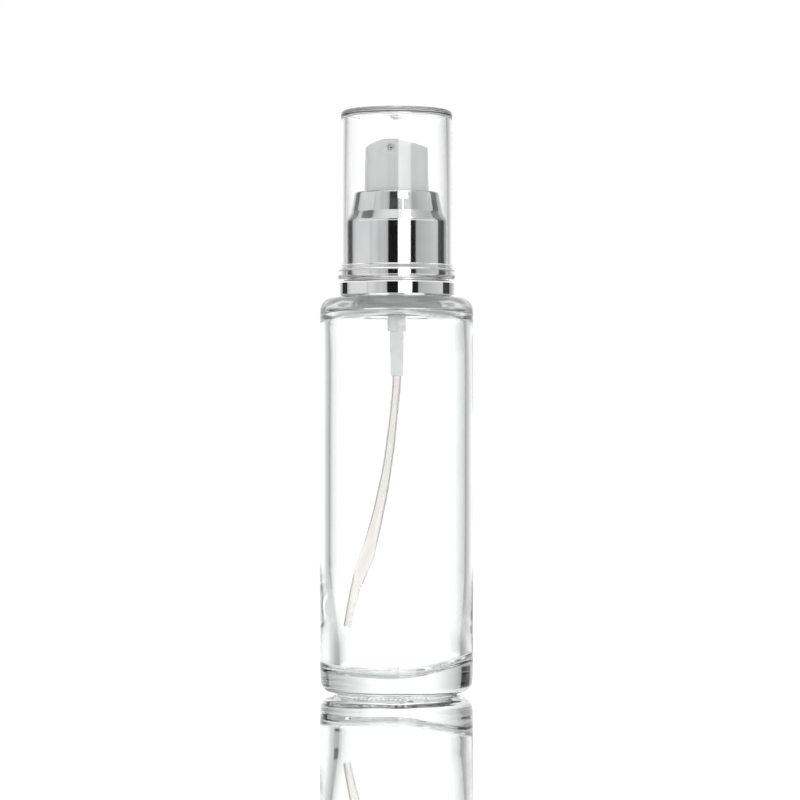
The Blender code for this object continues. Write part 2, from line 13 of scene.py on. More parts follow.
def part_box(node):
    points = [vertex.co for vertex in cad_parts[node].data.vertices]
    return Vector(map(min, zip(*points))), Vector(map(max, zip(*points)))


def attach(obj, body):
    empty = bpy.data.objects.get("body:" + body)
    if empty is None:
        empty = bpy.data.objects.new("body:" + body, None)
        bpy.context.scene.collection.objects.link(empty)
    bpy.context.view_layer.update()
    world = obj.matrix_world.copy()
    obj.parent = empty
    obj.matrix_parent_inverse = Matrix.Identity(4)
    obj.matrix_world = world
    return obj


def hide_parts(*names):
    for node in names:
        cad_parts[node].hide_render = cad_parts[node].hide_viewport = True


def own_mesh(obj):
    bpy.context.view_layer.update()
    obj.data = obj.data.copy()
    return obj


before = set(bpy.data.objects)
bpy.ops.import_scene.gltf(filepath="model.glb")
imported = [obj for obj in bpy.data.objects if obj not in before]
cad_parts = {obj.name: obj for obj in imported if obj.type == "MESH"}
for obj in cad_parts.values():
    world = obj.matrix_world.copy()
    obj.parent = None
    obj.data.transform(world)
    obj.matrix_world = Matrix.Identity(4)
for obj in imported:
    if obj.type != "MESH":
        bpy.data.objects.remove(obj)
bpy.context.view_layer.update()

MM = 0.001
CAMERA_AZIMUTH = 12.0  # degrees, from -Y towards +X
CAMERA_DISTANCE = 850.0
CAMERA_HEIGHT = 61.5
AIM_Z = 70.85
AIM_RIGHT = 0.83
LENS = 158.6

ROUND = 160  # facets round a turned piece
FINE = 320  # facets round the bottle, four to each stipple under its base
SHARP = 38  # degrees between faces, from which an edge is sharp
SHARP_WHERE_CUT = 32

STIPPLES = 80
STIPPLE_R = 14.6
STIPPLE_HALF = 0.9
STIPPLE_DEPTH = 0.42

THREAD_PITCH = 3.175
THREAD_TURNS = 1.5
THREAD_HALF_CREST = 0.3
THREAD_FADE = 0.12  # of a turn, at each end


# ---------------------------------------------------------------- shapes


def extents(node):
    """(largest radius, bottom, top) of a CAD node about the axis."""
    low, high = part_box(node)
    return max(high.x, -low.x) / MM, low.z / MM, high.z / MM


def rounded(corners, longest=2.5):
    """Points along (radius, height[, fillet]) corners. A line that doesn't start on the axis is a loop."""
    count = len(corners)
    open_line = corners[0][0] == 0
    points = []
    for i, corner in enumerate(corners):
        here = Vector(corner[:2])
        fillet = corner[2] if len(corner) > 2 else 0
        if fillet == 0 or (open_line and i in (0, count - 1)):
            points.append(here)
            continue
        back = Vector(corners[i - 1][:2]) - here
        on = Vector(corners[(i + 1) % count][:2]) - here
        turn = math.pi - back.angle(on)
        reach = min(fillet * math.tan(turn / 2), 0.46 * back.length, 0.46 * on.length)
        fillet = reach / math.tan(turn / 2)
        back_way = back.normalized()
        on_way = on.normalized()
        start = here + back_way * reach
        end = here + on_way * reach
        centre = here + (back_way + on_way).normalized() * (fillet / math.cos(turn / 2))
        from_angle = math.atan2(start.y - centre.y, start.x - centre.x)
        sweep = math.atan2(end.y - centre.y, end.x - centre.x) - from_angle
        sweep = (sweep + math.pi) % math.tau - math.pi
        steps = max(3, math.ceil(math.degrees(turn) / 10))
        points.append(start + back_way * 0.08 * reach)
        for k in range(steps + 1):
            angle = from_angle + sweep * k / steps
            points.append(centre + fillet * Vector((math.cos(angle), math.sin(angle))))
        points.append(end + on_way * 0.08 * reach)
    if not open_line:
        points.append(points[0])
    line = [points[0]]
    for a, b in zip(points, points[1:]):
        parts = max(1, math.ceil((b - a).length / longest))
        line += [a.lerp(b, k / parts) for k in range(1, parts + 1)]
    if not open_line:
        line.pop()
    return [(p.x, p.y) for p in line]


def finished(name, vertices, faces, sharp=SHARP):
    """A smooth closed mesh object, from millimetres."""
    mesh = bpy.data.meshes.new(name)
    mesh.from_pydata([[c * MM for c in v] for v in vertices], [], faces)
    bm = bmesh.new()
    bm.from_mesh(mesh)
    bmesh.ops.recalc_face_normals(bm, faces=bm.faces)
    bm.to_mesh(mesh)
    bm.free()
    mesh.shade_smooth()
    mesh.set_sharp_from_angle(angle=math.radians(sharp))
    item = bpy.data.objects.new(name, mesh)
    bpy.context.scene.collection.objects.link(item)
    return item


def turned(name, line, segments=ROUND, reshape=None, sharp=SHARP):
    """Spins a line of (radius, height) about Z. reshape(radius, angle, height, row) moves each point."""
    vertices = []
    rows = []
    for row, (r, z) in enumerate(line):
        count = 1 if r < 1e-6 else segments
        rows.append(range(len(vertices), len(vertices) + count))
        for k in range(count):
            angle = math.tau * k / segments
            r_now, z_now = (r, z) if reshape is None else reshape(r, angle, z, row)
            vertices.append((r_now * math.cos(angle), r_now * math.sin(angle), z_now))
    pairs = list(zip(rows, rows[1:]))
    if len(rows[0]) > 1:
        pairs.append((rows[-1], rows[0]))
    faces = []
    for a, b in pairs:
        for k in range(segments):
            j = (k + 1) % segments
            ring = [a[k % len(a)], a[j % len(a)], b[j % len(b)], b[k % len(b)]]
            faces.append(list(dict.fromkeys(ring)))
    return finished(name, vertices, faces, sharp)


def cut(item, cutter):
    """Takes the cutter out of the item and removes it."""
    modifier = item.modifiers.new("cut", "BOOLEAN")
    modifier.operation = "DIFFERENCE"
    modifier.solver = "EXACT"
    modifier.object = cutter
    bpy.context.view_layer.update()
    depsgraph = bpy.context.evaluated_depsgraph_get()
    mesh = bpy.data.meshes.new_from_object(item.evaluated_get(depsgraph))
    item.modifiers.clear()
    item.data = mesh
    mesh.name = item.name
    mesh.shade_smooth()
    mesh.set_sharp_from_angle(angle=math.radians(SHARP_WHERE_CUT))
    bpy.data.objects.remove(cutter)


def block(low, high):
    """A box-shaped cutter."""
    xs, ys, zs = zip(low, high)
    corners = [(x, y, z) for x in xs for y in ys for z in zs]
    faces = [(0, 1, 3, 2), (4, 6, 7, 5), (0, 4, 5, 1), (2, 3, 7, 6), (0, 2, 6, 4), (1, 5, 7, 3)]
    return finished("cutter", corners, faces)


def bore(outline, start, direction, segments=40):
    """A turned cutter whose axis runs from start along direction."""
    item = turned("cutter", outline, segments)
    turn = Vector(direction).to_track_quat("Z", "Y").to_matrix().to_4x4()
    item.data.transform(Matrix.Translation(Vector(start) * MM) @ turn)
    return item


def quarter(steps=6):
    """Angles of a quarter turn, both ends included."""
    return [math.pi / 2 * k / steps for k in range(steps + 1)]


def smooth_step(x):
    x = min(max(x, 0.0), 1.0)
    return x * x * (3 - 2 * x)


def thread_height(angle, z, start, half_root):
    """From 0 at the root to 1 at the crest of a right-hand helical ridge."""
    best = 0.0
    for lap in range(math.ceil(THREAD_TURNS) + 1):
        along = angle / math.tau + lap
        if not -0.02 <= along <= THREAD_TURNS + 0.02:
            continue
        off = abs(z - start - THREAD_PITCH * along)
        side = 1 - smooth_step((off - THREAD_HALF_CREST) / (half_root - THREAD_HALF_CREST))
        ends = smooth_step(min(along, THREAD_TURNS - along) / THREAD_FADE)
        best = max(best, side * ends)
    return best


# ---------------------------------------------------------------- materials


class Nodes:
    """Short names for making and joining shader nodes."""

    def __init__(self, tree):
        self.tree = tree

    def add(self, kind, **settings):
        node = self.tree.nodes.new(kind)
        for key, value in settings.items():
            setattr(node, key, value)
        return node

    def join(self, source, target):
        self.tree.links.new(source, target)

    def put(self, socket, value):
        if isinstance(value, bpy.types.NodeSocket):
            self.join(value, socket)
        else:
            socket.default_value = value

    def math(self, operation, a, b=0.0, c=0.0):
        node = self.add("ShaderNodeMath", operation=operation)
        for socket, value in zip(node.inputs, (a, b, c)):
            self.put(socket, value)
        return node.outputs[0]

    def times(self, a, b):
        return self.math("MULTIPLY", a, b)

    def larger(self, a, b):
        return self.math("MAXIMUM", a, b)

    def above(self, a, limit):
        return self.math("GREATER_THAN", a, limit)

    def equals(self, a, whole):
        return self.math("COMPARE", a, whole, 0.5)

    def span(self, value, low, high, to_low=0.0, to_high=1.0):
        """Eases from to_low at low to to_high at high."""
        node = self.add("ShaderNodeMapRange", interpolation_type="SMOOTHSTEP")
        keys = ("Value", "From Min", "From Max", "To Min", "To Max")
        for key, number in zip(keys, (value, low, high, to_low, to_high)):
            self.put(node.inputs[key], number)
        return node.outputs[0]

    def fade(self, value, low, high):
        return self.span(value, low, high, 1.0, 0.0)

    def band(self, value, low, full_from, full_to, high):
        """1 between full_from and full_to, and 0 outside low and high."""
        return self.times(self.span(value, low, full_from), self.fade(value, full_to, high))

    def mix(self, factor, a, b):
        node = self.add("ShaderNodeMix", data_type="FLOAT")
        self.put(node.inputs["Factor"], factor)
        self.put(node.inputs["A"], a)
        self.put(node.inputs["B"], b)
        return node.outputs["Result"]

    def tint(self, factor, a, b):
        node = self.add("ShaderNodeMix", data_type="RGBA")
        self.put(node.inputs["Factor"], factor)
        for socket, value in zip((node.inputs[6], node.inputs[7]), (a, b)):
            self.put(socket, value if isinstance(value, bpy.types.NodeSocket) else (*value, 1.0))
        return node.outputs[2]

    def noise(self, scale, detail=3.0, stretch=(1, 1, 1)):
        """Noise in metres of the object's own space, scale per metre."""
        place = self.add("ShaderNodeTexCoord")
        size = self.add("ShaderNodeMapping")
        size.inputs["Scale"].default_value = stretch
        self.join(place.outputs["Object"], size.inputs["Vector"])
        node = self.add("ShaderNodeTexNoise")
        node.inputs["Scale"].default_value = scale
        node.inputs["Detail"].default_value = detail
        self.join(size.outputs["Vector"], node.inputs["Vector"])
        return node.outputs["Fac"]

    def bump(self, height, strength, distance_mm, base=None):
        node = self.add("ShaderNodeBump")
        node.inputs["Strength"].default_value = strength
        node.inputs["Distance"].default_value = distance_mm * MM
        self.join(height, node.inputs["Height"])
        if base is not None:
            self.join(base, node.inputs["Normal"])
        return node.outputs["Normal"]


def surface(
    name,
    colours,
    roughness,
    grain=(900, 0.02),
    wave=None,
    speck=14000,
    metallic=0.0,
    transmission=0.0,
    ior=1.5,
    subsurface=0.0,
    stretch=(1, 1, 1),
    mottle=120,
    haze=None,
    absorb=0.0,
):
    """A Principled material: colour mottled between two tones, varied roughness, fine grain, slow waves.

    roughness is (smoothest, roughest), or None where the surface is perfectly smooth. grain is (scale of
    the roughness, height of the specks in fiftieths of a millimetre), wave is (scale, height in
    millimetres), and speck and mottle are scales. haze is (from height, to height, roughness, milkiness)
    of a band where a clear wall is less clear. absorb is the density of the inside, per metre.
    """
    made = bpy.data.materials.new(name)
    made.use_nodes = True
    n = Nodes(made.node_tree)
    shader = made.node_tree.nodes["Principled BSDF"]
    shader.inputs["Metallic"].default_value = metallic
    shader.inputs["Transmission Weight"].default_value = transmission
    shader.inputs["IOR"].default_value = ior
    if subsurface:
        shader.inputs["Subsurface Weight"].default_value = subsurface
        shader.inputs["Subsurface Radius"].default_value = (1.0, 1.0, 1.0)
        shader.inputs["Subsurface Scale"].default_value = 0.8 * MM
    slow = n.noise(mottle, 3.0, stretch)
    n.join(n.tint(n.span(slow, 0.3, 0.7), *colours), shader.inputs["Base Color"])
    if haze is not None:
        place = n.add("ShaderNodeTexCoord")
        split = n.add("ShaderNodeSeparateXYZ")
        n.join(place.outputs["Object"], split.inputs[0])
        low, high, blur, milkiness = haze
        band = n.band(split.outputs["Z"], (low - 1) * MM, low * MM, high * MM, (high + 0.5) * MM)
        n.join(n.times(band, blur), shader.inputs["Roughness"])
        n.join(n.math("MULTIPLY_ADD", band, -milkiness, 1.0), shader.inputs["Transmission Weight"])
    elif roughness is None:
        shader.inputs["Roughness"].default_value = 0.0
    else:
        patches = n.span(n.noise(grain[0], 4.0, stretch), 0.3, 0.7, *roughness)
        n.join(patches, shader.inputs["Roughness"])
    if absorb:
        depth = n.add("ShaderNodeVolumeAbsorption")
        depth.inputs["Color"].default_value = (0.0, 0.0, 0.0, 1.0)
        depth.inputs["Density"].default_value = absorb
        n.join(depth.outputs[0], made.node_tree.nodes["Material Output"].inputs["Volume"])
    normal = n.bump(n.noise(speck, 2.0), 1.0, grain[1] * 0.02) if speck else None
    if wave is not None:
        normal = n.bump(n.noise(wave[0], 1.0, stretch), 1.0, wave[1], normal)
    n.join(normal, shader.inputs["Normal"])
    return made


def dressed(item, finish):
    item.data.materials.clear()
    item.data.materials.append(finish)
    return item


def stands_for(item, node, body, finish):
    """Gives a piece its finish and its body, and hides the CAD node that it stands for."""
    dressed(item, finish)
    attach(item, body)
    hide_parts(node)
    return item


# ---------------------------------------------------------------- the bottle


def glass_bottle():
    radius, _, top = extents("glass_bottle")
    inner = radius - 2.2
    neck = 8.85
    neck_bore = 7.0
    ceiling = 92.6
    line = rounded(
        [
            (0, 2.1),
            (1.7, 2.05, 0.4),
            (2.1, 1.25, 0.3),
            (9.0, 1.0, 6.0),
            (12.6, 0.6, 1.5),
            (13.6, 0.42, 0.6),
            (15.4, 0.42, 1.0),
            (17.2, 0.85, 1.6),
            (18.25, 2.3, 2.2),
            (radius, 4.6, 3.0),
            (radius, 95.3, 3.2),
            (neck + 1.5, 95.95, 0.6),
            (neck, 96.2, 0.9),
            (neck, 100.2),
        ],
        1.4,
    )
    thread_low = len(line)
    line += [(neck, 100.4 + 0.2 * k) for k in range(37)]
    thread_high = len(line)
    line += [(neck, 108.2), (neck, 109.2)]
    line += [(neck - 0.7 + 0.7 * math.cos(a), top - 0.7 + 0.7 * math.sin(a)) for a in quarter()]
    line += [(neck_bore + 0.6 - 0.6 * math.sin(a), top - 0.6 + 0.6 * math.cos(a)) for a in quarter()]
    line += [(neck_bore, z) for z in (108.0, 104.0, 100.0, 96.6)]
    flare = ((0.1, 95.4), (0.45, 94.3), (1.1, 93.5), (2.0, 93.0), (3.2, ceiling + 0.1))
    line += [(neck_bore + out, z) for out, z in flare]
    inside = len(line)
    line += [(inner - 4.6, ceiling), (inner - 3.4, ceiling)]
    line += [(inner - 3.2 + 3.2 * math.sin(a), ceiling - 3.2 + 3.2 * math.cos(a)) for a in quarter(9)]
    line += [(inner, 88.0 - 2.0 * k) for k in range(28)]
    foot = 14.7
    for k in range(1, 15):
        share = k / 14
        line.append((inner - (inner - foot) * smooth_step(share) ** 1.1, 33.0 - 25.0 * share))
    corner = 2.6
    line += [(foot - corner + corner * math.cos(a), 8.0 - corner * math.sin(a)) for a in quarter(8)]
    line += [(12.1 - 1.1 * k, 5.4 - 0.02 * k) for k in range(1, 11)]
    line.append((0, 5.15))

    def reshape(r, angle, z, row):
        if row < thread_low:
            if 13.2 < r < 16.6 and z < 0.8:
                across = max(0.0, 1 - abs(r - STIPPLE_R) / STIPPLE_HALF)
                along = abs(math.cos(angle * STIPPLES / 2))
                return r, z - STIPPLE_DEPTH * smooth_step(across) * smooth_step(along * 1.3)
            return r, z
        if row < thread_high:
            return r + thread_height(angle, z, start=101.6, half_root=1.0), z
        if row < inside or z > 90:
            return r, z
        seen = angle - math.radians(CAMERA_AZIMUTH)
        slow = 0.5 + 0.5 * math.cos(z / 17.0)
        drift = 0.19 * math.cos(seen) - 0.03 + 0.04 * math.cos(3 * seen + z / 11) * slow
        r_now = r + smooth_step((90 - z) / 8) * drift
        if z < 33:
            r_now += 0.35 * math.cos(seen) * smooth_step((33 - z) / 20) * (r / foot)
        if z > 22:
            return r_now, z
        wave = 0.35 + 1.1 * math.cos(seen) + 0.55 * math.sin(seen) + 0.6 * math.cos(2 * seen)
        wave += 0.22 * math.cos(3 * seen + 0.6)
        reach = min(1.0, r / 13.0) ** 1.5
        held = 1 - smooth_step((z - 8) / 13)
        dip = 0.9 * (1 - reach) * held * 0.4
        return r_now, z + wave * reach * held - dip

    return turned("bottle_glass_body", line, FINE, reshape)


# ---------------------------------------------------------------- collar, overcap and closure


def chrome_collar():
    foot, low, top = extents("chrome_collar")
    wall = 0.5
    side = 12.1
    shelf = 99.4
    outline = [
        (foot, low, 0.12),
        (foot, shelf, 0.5),
        (side, shelf, 0.3),
        (side, 113.9, 1.5),
        (11.05, 116.1, 1.4),
        (10.5, 118.9, 9.0),
        (10.15, top, 0.6),
        (8.2, top, 0.2),
        (8.2, top - wall, 0.15),
        (9.6, top - wall, 0.3),
        (10.0, 118.8, 6.0),
        (10.5, 116.0, 1.2),
        (side - wall, 113.75, 1.0),
        (side - wall, shelf - wall, 0.3),
        (foot - wall, shelf - wall, 0.2),
        (foot - wall, low, 0.12),
    ]
    return turned("collar_sleeve", rounded(outline, 1.2), 240)


def overcap():
    bead, low, top = extents("overcap")
    outer = 13.5
    inner = 12.4
    ceiling = top - 1.5
    outline = [
        (0, top),
        (8.0, top - 0.04, 4.0),
        (outer, top - 0.3, 1.25),
        (outer, 103.35, 0.15),
        (outer + 0.22, 103.1, 0.1),
        (outer + 0.25, 102.3, 0.1),
        (bead, 102.05, 0.15),
        (bead, low + 0.45, 0.3),
        (bead - 0.35, low, 0.2),
        (inner + 0.45, low, 0.3),
        (inner, low + 0.9, 0.5),
        (inner - 0.05, 115.0, 20.0),
        (inner - 0.35, ceiling, 0.9),
        (1.75, ceiling, 0.3),
    ]
    bowl = [(1.55 * math.cos(a), ceiling - 0.15 - 0.85 * math.sin(a)) for a in quarter(8)]
    bowl[-1] = (0, bowl[-1][1])
    line = rounded(outline, 1.5)
    return turned("overcap_shell", line + bowl, 240)


def inner_closure():
    foot, low, top = extents("inner_closure")
    side = 11.3
    bore_r = 10.2
    deck = 112.9
    outline = [
        (bore_r, low, 0.3),
        (foot, low, 0.25),
        (foot, 98.6, 0.25),
        (side, 98.6, 0.3),
        (side, top, 0.9),
        (6.4, top, 0.25),
        (6.4, deck, 0.2),
        (bore_r, deck, 0.5),
    ]
    line = rounded(outline, 0.3)

    def reshape(r, angle, z, row):
        if abs(r - bore_r) > 0.01 or z > 109:
            return r, z
        return r - thread_height(angle, z, start=100.3, half_root=0.6), z

    return turned("closure_threaded", line, 128, reshape)


# ---------------------------------------------------------------- pump


def pump_cylinder():
    flange, tip, rim_top = extents("pump_housing")
    outline = [
        (3.6, rim_top, 0.2),
        (3.6, 98.8, 0.3),
        (2.2, 98.8, 0.2),
        (2.2, 100.1, 0.15),
        (1.2, 100.1, 0.15),
        (1.2, 99.75, 0.1),
        (1.7, 99.5, 0.15),
        (1.7, 97.0, 0.3),
        (0.8, 96.2, 0.2),
        (0.8, 86.8, 0.1),
        (1.22, 86.8, 0.1),
        (1.22, tip, 0.08),
        (1.525, tip, 0.12),
        (1.575, 82.9, 0.05),
        (1.645, 83.1, 0.05),
        (1.675, 87.3, 0.15),
        (2.225, 87.3, 0.2),
        (2.225, 95.4, 0.5),
        (4.3, 97.7, 0.4),
        (4.6, 98.2, 0.4),
        (4.6, 111.5, 0.4),
        (flange, 111.5, 0.2),
        (flange, 112.6, 0.2),
        (5.4, 112.6, 0.25),
        (5.4, rim_top, 0.3),
    ]
    body = turned("pump_cylinder", rounded(outline), 128)
    cut(body, block((-1.7, -0.35, 99.2), (1.7, 0.35, 100.6)))
    cut(body, bore([(0, 0), (0.4, 0), (0.4, 2.6), (0, 2.6)], (0, 2.8, 108.6), (0, 1, 0), 24))
    return body


def stem_guide():
    side, _, top = extents("stem_guide")
    under = top - 1.0
    outline = [
        (2.65, 111.1, 0.15),
        (3.3, 111.1, 0.15),
        (3.3, under, 0.15),
        (5.7, under, 0.15),
        (5.7, 112.9, 0.1),
        (side, 112.9, 0.1),
        (side, top, 0.35),
        (2.65, top, 0.25),
    ]
    return turned("stem_guide_cap", rounded(outline), 128)


def pump_stem():
    _, low, top = extents("pump_stem")
    outline = [
        (1.4, low, 0.1),
        (1.95, low, 0.15),
        (1.95, 110.0, 0.1),
        (2.75, 110.0, 0.12),
        (2.75, 110.6, 0.12),
        (2.4, 110.8, 0.15),
        (2.4, top, 0.35),
        (1.4, top, 0.25),
    ]
    stem = turned("stem_hollow", rounded(outline), 96)
    cut(stem, block((-3.0, -0.5, low - 0.5), (3.0, 0.5, low + 1.1)))
    return stem


def valve_core():
    _, low, top = extents("valve_core")
    outline = [
        (0, low),
        (2.24, low, 0.35),
        (2.24, 105.64, 0.15),
        (3.15, 105.64, 0.12),
        (3.15, 106.34, 0.12),
        (2.5, 106.54, 0.15),
        (2.5, 107.6, 0.15),
        (1.2, 107.6, 0.2),
        (1.2, top, 0.5),
        (0, top),
    ]
    core = turned("valve_core_plug", rounded(outline), 96)
    for k in range(3):
        angle = math.tau * k / 3
        start = (1.25 * math.cos(angle), 1.25 * math.sin(angle), 107.85)
        cut(core, bore([(0, 0), (0.45, 0), (0.45, 7.0), (0, 7.0)], start, (0, 0, 1), 24))
    return core


def piston():
    _, low, top = extents("piston")
    outline = [
        (3.45, low, 0.06),
        (3.2, low + 0.7, 0.5),
        (3.2, top - 0.7, 0.5),
        (3.45, top, 0.06),
        (3.1, top, 0.06),
        (2.9, 109.2, 0.15),
        (2.15, 109.2, 0.15),
        (2.15, 107.9, 0.15),
        (2.9, 107.9, 0.15),
        (3.05, low, 0.06),
    ]
    return turned("piston_seal_lips", rounded(outline, 0.6), 96)


def neck_gasket():
    side, low, top = extents("neck_gasket")
    outline = [(7.1, low, 0.2), (side, low, 0.2), (side, top, 0.2), (7.1, top, 0.2)]
    return turned("neck_gasket_foam", rounded(outline, 0.4), 128)


def ball():
    _, low, top = extents("check_ball")
    radius = (top - low) / 2
    middle = (top + low) / 2
    steps = 32
    angles = [math.pi * k / steps for k in range(steps + 1)]
    line = [(radius * math.sin(a), middle - radius * math.cos(a)) for a in angles]
    line[-1] = (0, top)
    return turned("check_ball_polished", line, 64)


def ring_wall(vertices, points):
    """Adds points to vertices and returns their indices."""
    start = len(vertices)
    vertices += points
    return range(start, len(vertices))


def bridged(a, b):
    """Quads between two rings of indices."""
    count = len(a)
    return [(a[k], a[(k + 1) % count], b[(k + 1) % count], b[k]) for k in range(count)]


def spring():
    """Round wire with closed ends that taper to a ground tip."""
    _, low, top = extents("return_spring")
    wire = 0.24
    coil = 2.72
    turns = 4
    steps = 56
    sides = 14
    closed = 2 * wire + 0.04
    active = (top - low - 2 * wire - 2 * closed) / 2
    vertices = []
    rings = []
    total = turns * steps
    for i in range(total + 1):
        turn = i / steps
        middle = min(max(turn - 1, 0), 2)
        z = low + wire + active * middle + closed * (turn - middle)
        angle = math.tau * turn
        end = min(i, total - i)
        size = wire * min(1.0, 0.35 + 0.65 * end / 8)
        out = Vector((math.cos(angle), math.sin(angle), 0))
        centre = out * coil + Vector((0, 0, z))
        points = []
        for k in range(sides):
            a = math.tau * k / sides
            points.append(centre + size * (math.cos(a) * out + math.sin(a) * Vector((0, 0, 1))))
        rings.append(ring_wall(vertices, points))
    faces = [f for a, b in zip(rings, rings[1:]) for f in bridged(a, b)]
    faces += [list(rings[0]), list(rings[-1])]
    return finished("return_spring_coil", vertices, faces)


TUBE_HEADING = 192.0  # degrees about Z, the way the tube leans
TUBE_ROUTE = (  # sideways, height
    (0, 86.5),
    (0, 76),
    (0.7, 68),
    (2.0, 57),
    (3.9, 46.5),
    (6.6, 35.5),
    (9.9, 25.5),
    (12.35, 15.6),
)
TUBE_WIDTHS = (  # height, width across the lean
    (86.5, 2.2),
    (76, 2.15),
    (68, 2.1),
    (57, 2.3),
    (46, 2.6),
    (38, 3.0),
    (33, 3.5),
    (29, 3.1),
    (25, 2.5),
    (20, 2.25),
    (15, 2.1),
)


def curve_through(points, steps):
    padded = [2 * points[0] - points[1], *points, 2 * points[-1] - points[-2]]
    path = []
    for a, b, c, d in zip(padded, padded[1:], padded[2:], padded[3:]):
        for i in range(steps):
            t = i / steps
            bend = (2 * a - 5 * b + 4 * c - d) * t**2 + (3 * b - a - 3 * c + d) * t**3
            path.append((2 * b + (c - a) * t + bend) / 2)
    return [*path, points[-1]]


def width_at(z):
    for (z_high, wide), (z_low, narrow) in zip(TUBE_WIDTHS, TUBE_WIDTHS[1:]):
        if z >= z_low:
            share = smooth_step((z_high - z) / (z_high - z_low))
            return wide + (narrow - wide) * share
    return TUBE_WIDTHS[-1][1]


def dip_tube():
    """Soft tube, pressed oval where it was folded."""
    lean = math.radians(TUBE_HEADING)
    heading = Vector((math.cos(lean), math.sin(lean), 0))
    across = Vector((-heading.y, heading.x, 0))
    path = curve_through([heading * s + Vector((0, 0, z)) for s, z in TUBE_ROUTE], 24)
    sides = 96
    angles = [math.tau * k / sides for k in range(sides)]
    wall = 0.32
    vertices = []
    outer = []
    inner = []
    for i, centre in enumerate(path):
        ahead = (path[min(i + 1, len(path) - 1)] - path[max(i - 1, 0)]).normalized()
        sideways = across.cross(ahead).normalized()
        half = width_at(centre.z) / 2
        girth = 2.7 if centre.z < 60 else 2.42
        depth = math.sqrt(max(girth - half**2, 0.42**2))
        for rings, thick in ((outer, 0.0), (inner, wall)):
            a_half = half - thick
            b_half = max(depth - thick, 0.14)
            points = []
            for a in angles:
                points.append(centre + sideways * a_half * math.cos(a) + across * b_half * math.sin(a))
            rings.append(ring_wall(vertices, points))
    faces = [f for rings in (outer, inner) for a, b in zip(rings, rings[1:]) for f in bridged(a, b)]
    faces += bridged(outer[0], inner[0]) + bridged(outer[-1], inner[-1])
    return finished("dip_tube_curved", vertices, faces)


def press_head():
    """Tapered head with a ridged roof, a flat round the nozzle, a stem socket and the liquid channel."""
    foot, low, top = extents("actuator")
    crown = 7.55
    shell = 1.1
    ceiling = 129.2
    boss_low = 120.6
    socket = 2.7
    socket_top = 125.9
    outline = [
        (0, socket_top),
        (socket, socket_top, 0.2),
        (socket, boss_low, 0.25),
        (3.9, boss_low, 0.25),
        (4.1, ceiling, 0.5),
        (crown - shell, ceiling, 0.5),
        (foot - shell, low, 0.2),
        (foot, low, 0.3),
        (crown, top, 0.45),
        (0, top),
    ]
    ridge = 1.5
    slope = (top - 131.7) / (crown - ridge)
    turn_z = 129.6

    def reshape(r, angle, z, row):
        if z < turn_z:
            return r, z
        x = abs(r * math.cos(angle)) - ridge
        soft = 0.35
        fall = slope * (x + math.sqrt(x * x + soft * soft) - soft * 0.6) / 2
        roof = top - max(0.0, fall)
        return r, turn_z + (z - turn_z) * (roof - turn_z) / (top - turn_z)

    head = turned("press_head", rounded(outline, 0.45), 192, reshape, 30)
    facet = -math.sqrt(crown**2 - 2.3**2)
    cut(head, block((-4.0, facet - 3.0, 129.0), (4.0, facet, top + 3.0)))
    nozzle = [
        (0, 0),
        (2.2, 0),
        (2.2, 1.85),
        (1.1, 2.0),
        (1.0, 2.12),
        (0.82, 2.2),
        (0.72, 2.95),
        (0.22, 3.05),
        (0.22, 8.0),
        (0, 8.0),
    ]
    cut(head, bore(nozzle, (0, facet - 2.0, 131.3), (0, 1, 0), 48))
    cut(head, bore([(0, 0), (0.55, 0), (0.55, 5.9), (0, 5.9)], (0, 0, 125.4), (0, 0, 1), 24))
    return head


# ---------------------------------------------------------------- finishes

GLASS = surface(
    "flint_glass",
    ((0.985, 0.99, 0.99), (0.965, 0.975, 0.975)),
    None,
    wave=(55, 0.05),
    transmission=1.0,
    speck=None,
    haze=(92.6, 96.4, 0.04, 0.14),
    absorb=3.0,
)
CAP = surface(
    "clear_styrene",
    ((0.99, 0.99, 0.99), (0.975, 0.98, 0.98)),
    None,
    wave=(80, 0.02),
    transmission=1.0,
    ior=1.49,
    speck=None,
    absorb=22.0,
)
CHROME = surface(
    "bright_silver",
    ((0.93, 0.93, 0.935), (0.89, 0.89, 0.9)),
    (0.015, 0.05),
    grain=(1500, 0.01),
    wave=(70, 0.02),
    metallic=1.0,
    speck=20000,
)
HEAD = surface(
    "natural_head",
    ((0.7, 0.7, 0.705), (0.67, 0.67, 0.675)),
    (0.22, 0.25),
    grain=(300, 0.06),
    wave=(60, 0.008),
    ior=1.62,
    subsurface=0.4,
    mottle=60,
)
HOUSING = surface(
    "natural_housing",
    ((0.88, 0.88, 0.885), (0.84, 0.84, 0.845)),
    (0.25, 0.36),
    grain=(300, 0.06),
    wave=(90, 0.004),
    transmission=0.04,
    ior=1.49,
    mottle=60,
)
TUBE = surface(
    "soft_clear_tube",
    ((1.0, 0.985, 0.97), (1.0, 0.975, 0.955)),
    (0.04, 0.1),
    grain=(400, 0.05),
    wave=(120, 0.02),
    transmission=0.95,
    ior=1.36,
    stretch=(1, 1, 0.3),
    mottle=80,
    absorb=160.0,
)
WHITE = surface(
    "satin_white",
    ((0.86, 0.86, 0.86), (0.8, 0.8, 0.8)),
    (0.35, 0.5),
    grain=(700, 0.4),
    wave=(200, 0.02),
)
NATURAL = surface(
    "pump_plastic",
    ((0.86, 0.86, 0.85), (0.79, 0.79, 0.78)),
    (0.28, 0.42),
    grain=(700, 0.3),
    wave=(200, 0.02),
)
SOFT = surface(
    "soft_seal",
    ((0.9, 0.9, 0.89), (0.84, 0.84, 0.83)),
    (0.35, 0.5),
    grain=(900, 0.5),
    wave=(300, 0.02),
)
FOAM = surface(
    "gasket_foam",
    ((0.88, 0.88, 0.86), (0.78, 0.78, 0.76)),
    (0.7, 0.9),
    grain=(2500, 6.0),
    speck=3500,
)
